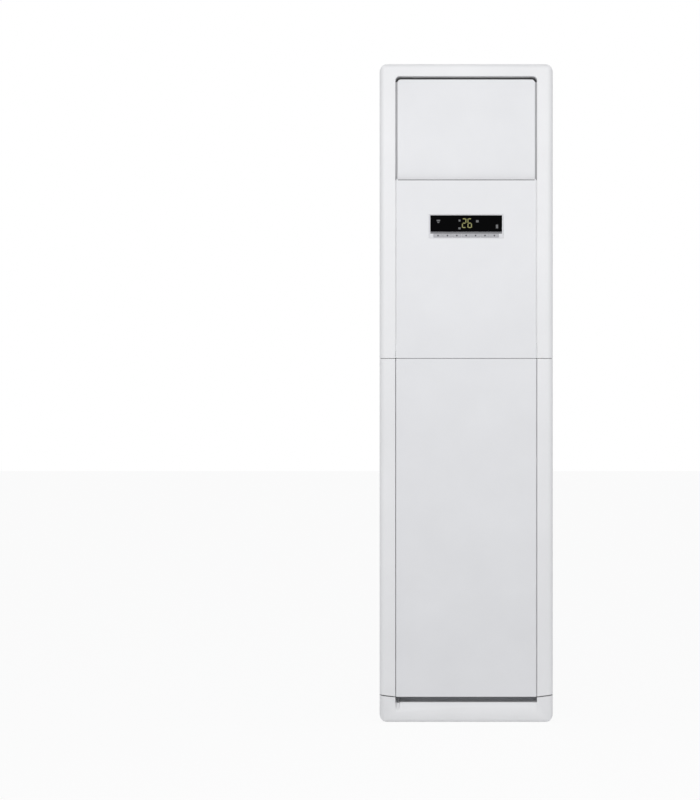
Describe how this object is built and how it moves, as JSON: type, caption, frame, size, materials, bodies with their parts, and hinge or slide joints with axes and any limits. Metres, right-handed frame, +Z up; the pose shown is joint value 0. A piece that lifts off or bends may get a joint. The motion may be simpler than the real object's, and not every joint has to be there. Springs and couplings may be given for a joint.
{
  "type": "floor standing air conditioner",
  "caption": "Tall floor standing room air conditioner with a sliding outlet door, louvres, vanes, a display with keys, a hinged lower panel, side intakes and slide-out filters.",
  "frame": {"origin": "centre of the outer box's bottom face, on the floor", "axes": "+Z up, the front faces -Y, +X to the right of someone who looks at the front"},
  "size_m": [0.468, 0.324, 1.775],
  "materials": {
    "white_plastic": "smooth semi-gloss white",
    "white_paint": "powder coated off-white",
    "duct_plastic": "fine matte light grey",
    "grey_plastic": "satin grey",
    "dark_plastic": "matte black",
    "display_lens": "dark gloss window",
    "zinc": "zinc coated sheet",
    "fin_aluminium": "thin bare fins",
    "copper_tube": null,
    "black_rubber": "soft black rubber",
    "filter_mesh": "woven nylon net in a plastic frame"
  },
  "bodies": {
    "cabinet": {"base_pan": "white_paint", "left_side_panel": "white_paint", "right_side_panel": "white_paint", "rear_lower_panel": "white_paint", "rear_upper_panel": "white_paint", "top_cover": "white_paint", "plinth_cover": "white_plastic", "left_lower_pillar": "white_plastic", "right_lower_pillar": "white_plastic", "upper_front_frame": "white_plastic", "upper_front_panel": "white_plastic", "left_intake_grille": "white_plastic", "right_intake_grille": "white_plastic", "wall_bracket": "zinc", "middle_cross_rail": "zinc", "partition_plate": "zinc", "fan_motor": "zinc", "electrical_box": "zinc", "electrical_cover": "zinc", "left_coil_plate": "zinc", "right_coil_plate": "zinc", "display_housing": "grey_plastic", "louvre_motor": "grey_plastic", "vane_motor": "grey_plastic", "door_motor": "grey_plastic", "display_window": "display_lens", "fan_scroll": "duct_plastic", "inlet_ring": "duct_plastic", "outlet_housing": "duct_plastic", "drain_pan": "duct_plastic", "drain_hose": "duct_plastic", "cable_gland": "dark_plastic", "evaporator_fins": "fin_aluminium", "evaporator_tubes": "copper_tube", "gas_pipe": "copper_tube", "liquid_pipe": "copper_tube", "pipe_grommet": "black_rubber"},
    "door": {"outlet_door": "white_plastic"},
    "door_drive": {"door_pinion_shaft": "grey_plastic"},
    "louvre_link": {"louvre_link": "grey_plastic"},
    "vane_link": {"vane_link": "grey_plastic"},
    "blower": {"blower_wheel": "dark_plastic"},
    "lower_door": {"lower_front_panel": "white_plastic"},
    "left_filter": {"left_filter": "filter_mesh"},
    "right_filter": {"right_filter": "filter_mesh"},
    "louvre_1": {"louvre_1": "white_plastic"},
    "vane_1": {"vane_1": "grey_plastic"},
    "louvre_2": {"louvre_2": "white_plastic"},
    "vane_2": {"vane_2": "grey_plastic"},
    "louvre_3": {"louvre_3": "white_plastic"},
    "vane_3": {"vane_3": "grey_plastic"},
    "louvre_4": {"louvre_4": "white_plastic"},
    "vane_4": {"vane_4": "grey_plastic"},
    "key_1": {"key_1": "grey_plastic"},
    "key_2": {"key_2": "grey_plastic"},
    "key_3": {"key_3": "grey_plastic"},
    "key_4": {"key_4": "grey_plastic"},
    "key_5": {"key_5": "grey_plastic"},
    "key_6": {"key_6": "grey_plastic"},
    "key_7": {"key_7": "grey_plastic"}
  },
  "joints": [
    {"name": "door_slide", "type": "slide", "parent": "cabinet", "child": "door", "axis": [0, 0, -1], "range_m": [0, 0.27]},
    {"name": "door_drive_turn", "type": "hinge", "parent": "cabinet", "child": "door_drive", "pos_m": [0, -0.12475, 1.452], "axis": [1, 0, 0], "range_deg": [0, 1106]},
    {"name": "louvre_1_tilt", "type": "hinge", "parent": "cabinet", "child": "louvre_1", "pos_m": [0, -0.103, 1.50663], "axis": [1, 0, 0], "range_deg": [-30, 30]},
    {"name": "louvre_2_tilt", "type": "hinge", "parent": "cabinet", "child": "louvre_2", "pos_m": [0, -0.103, 1.56987], "axis": [1, 0, 0], "range_deg": [-30, 30]},
    {"name": "louvre_3_tilt", "type": "hinge", "parent": "cabinet", "child": "louvre_3", "pos_m": [0, -0.103, 1.63312], "axis": [1, 0, 0], "range_deg": [-30, 30]},
    {"name": "louvre_4_tilt", "type": "hinge", "parent": "cabinet", "child": "louvre_4", "pos_m": [0, -0.103, 1.69637], "axis": [1, 0, 0], "range_deg": [-30, 30]},
    {"name": "louvre_link_pivot", "type": "hinge", "parent": "louvre_1", "child": "louvre_link", "pos_m": [-0.1695, -0.085, 1.50663], "axis": [1, 0, 0], "range_deg": [-30, 30]},
    {"name": "vane_1_swing", "type": "hinge", "parent": "cabinet", "child": "vane_1", "pos_m": [-0.1305, -0.042, 1.6015], "axis": [0, 0, 1], "range_deg": [-35, 35]},
    {"name": "vane_2_swing", "type": "hinge", "parent": "cabinet", "child": "vane_2", "pos_m": [-0.0435, -0.042, 1.6015], "axis": [0, 0, 1], "range_deg": [-35, 35]},
    {"name": "vane_3_swing", "type": "hinge", "parent": "cabinet", "child": "vane_3", "pos_m": [0.0435, -0.042, 1.6015], "axis": [0, 0, 1], "range_deg": [-35, 35]},
    {"name": "vane_4_swing", "type": "hinge", "parent": "cabinet", "child": "vane_4", "pos_m": [0.1305, -0.042, 1.6015], "axis": [0, 0, 1], "range_deg": [-35, 35]},
    {"name": "vane_link_pivot", "type": "hinge", "parent": "vane_1", "child": "vane_link", "pos_m": [-0.1305, -0.024, 1.4795], "axis": [0, 0, 1], "range_deg": [-35, 35]},
    {"name": "blower_spin", "type": "hinge", "parent": "cabinet", "child": "blower", "pos_m": [0, 0, 0.33], "axis": [0, 1, 0], "continuous": true},
    {"name": "lower_door_hinge", "type": "hinge", "parent": "cabinet", "child": "lower_door", "pos_m": [-0.1838, -0.154, 0.5], "axis": [0, 0, -1], "range_deg": [0, 95]},
    {"name": "left_filter_slide", "type": "slide", "parent": "cabinet", "child": "left_filter", "axis": [0, 1, 0], "range_m": [0, 0.2]},
    {"name": "right_filter_slide", "type": "slide", "parent": "cabinet", "child": "right_filter", "axis": [0, 1, 0], "range_m": [0, 0.2]},
    {"name": "key_1_press", "type": "slide", "parent": "cabinet", "child": "key_1", "axis": [0, 1, 0], "range_m": [0, 0.001], "stiffness_N_per_m": 400},
    {"name": "key_2_press", "type": "slide", "parent": "cabinet", "child": "key_2", "axis": [0, 1, 0], "range_m": [0, 0.001], "stiffness_N_per_m": 400},
    {"name": "key_3_press", "type": "slide", "parent": "cabinet", "child": "key_3", "axis": [0, 1, 0], "range_m": [0, 0.001], "stiffness_N_per_m": 400},
    {"name": "key_4_press", "type": "slide", "parent": "cabinet", "child": "key_4", "axis": [0, 1, 0], "range_m": [0, 0.001], "stiffness_N_per_m": 400},
    {"name": "key_5_press", "type": "slide", "parent": "cabinet", "child": "key_5", "axis": [0, 1, 0], "range_m": [0, 0.001], "stiffness_N_per_m": 400},
    {"name": "key_6_press", "type": "slide", "parent": "cabinet", "child": "key_6", "axis": [0, 1, 0], "range_m": [0, 0.001], "stiffness_N_per_m": 400},
    {"name": "key_7_press", "type": "slide", "parent": "cabinet", "child": "key_7", "axis": [0, 1, 0], "range_m": [0, 0.001], "stiffness_N_per_m": 400}
  ],
  "couplings": [
    {"joint": "door_drive_turn", "follows": "door_slide", "rad_per_m": 71.429},
    {"joint": "louvre_2_tilt", "follows": "louvre_1_tilt", "ratio": 1},
    {"joint": "louvre_3_tilt", "follows": "louvre_1_tilt", "ratio": 1},
    {"joint": "louvre_4_tilt", "follows": "louvre_1_tilt", "ratio": 1},
    {"joint": "louvre_link_pivot", "follows": "louvre_1_tilt", "ratio": -1},
    {"joint": "vane_2_swing", "follows": "vane_1_swing", "ratio": 1},
    {"joint": "vane_3_swing", "follows": "vane_1_swing", "ratio": 1},
    {"joint": "vane_4_swing", "follows": "vane_1_swing", "ratio": 1},
    {"joint": "vane_link_pivot", "follows": "vane_1_swing", "ratio": -1}
  ]
}
